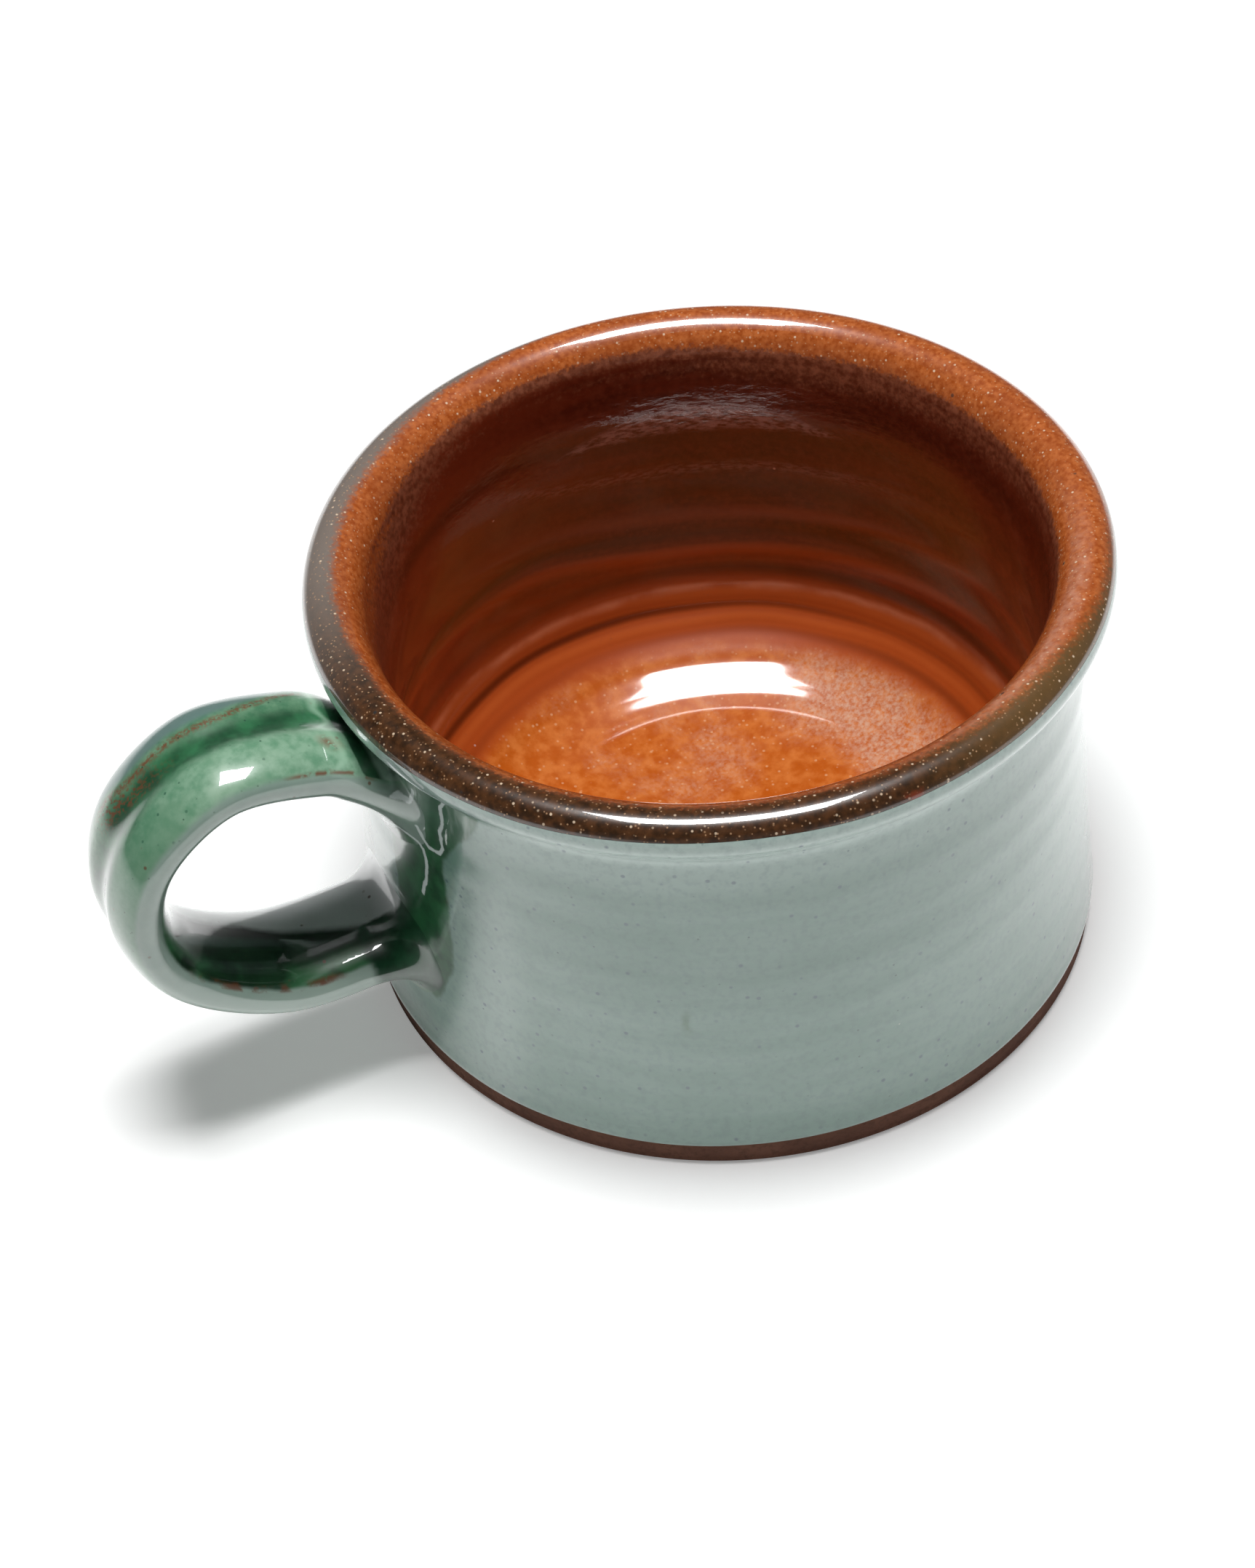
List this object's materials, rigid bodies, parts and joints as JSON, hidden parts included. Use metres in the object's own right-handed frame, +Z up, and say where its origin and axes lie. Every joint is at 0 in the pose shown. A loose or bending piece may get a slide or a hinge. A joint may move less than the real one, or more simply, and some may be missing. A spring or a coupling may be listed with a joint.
{
  "type": "clay mug",
  "caption": "Wide, low wheel-thrown clay mug with a rolled lip, bare foot and a pulled, grooved strap handle, glazed in separate coats.",
  "frame": {"origin": "centre of the foot ring, on the vessel's axis, in the plane of the table", "axes": "+Z up along the vessel's axis, -X from the axis towards the handle, Y across the handle's strap"},
  "size_m": [0.1459, 0.11, 0.0669],
  "materials": {
    "bare_clay": "unglazed, fired, fine sand texture",
    "handle_clay": "unglazed, fired",
    "join_clay": "unglazed slip, fired",
    "lining_glaze": "gloss, red-brown to orange",
    "rim_glaze": "gloss, dark brown to orange, fine pale specks",
    "outside_glaze": "gloss, pale grey-green with fine dark specks",
    "handle_glaze": "gloss, green, darker where it pools"
  },
  "bodies": {
    "root": {"thrown_body": "bare_clay", "handle": "handle_clay", "upper_join": "join_clay", "lower_join": "join_clay", "lining_glaze": "lining_glaze", "rim_glaze": "rim_glaze", "outside_glaze": "outside_glaze", "handle_glaze": "handle_glaze"}
  },
  "joints": []
}
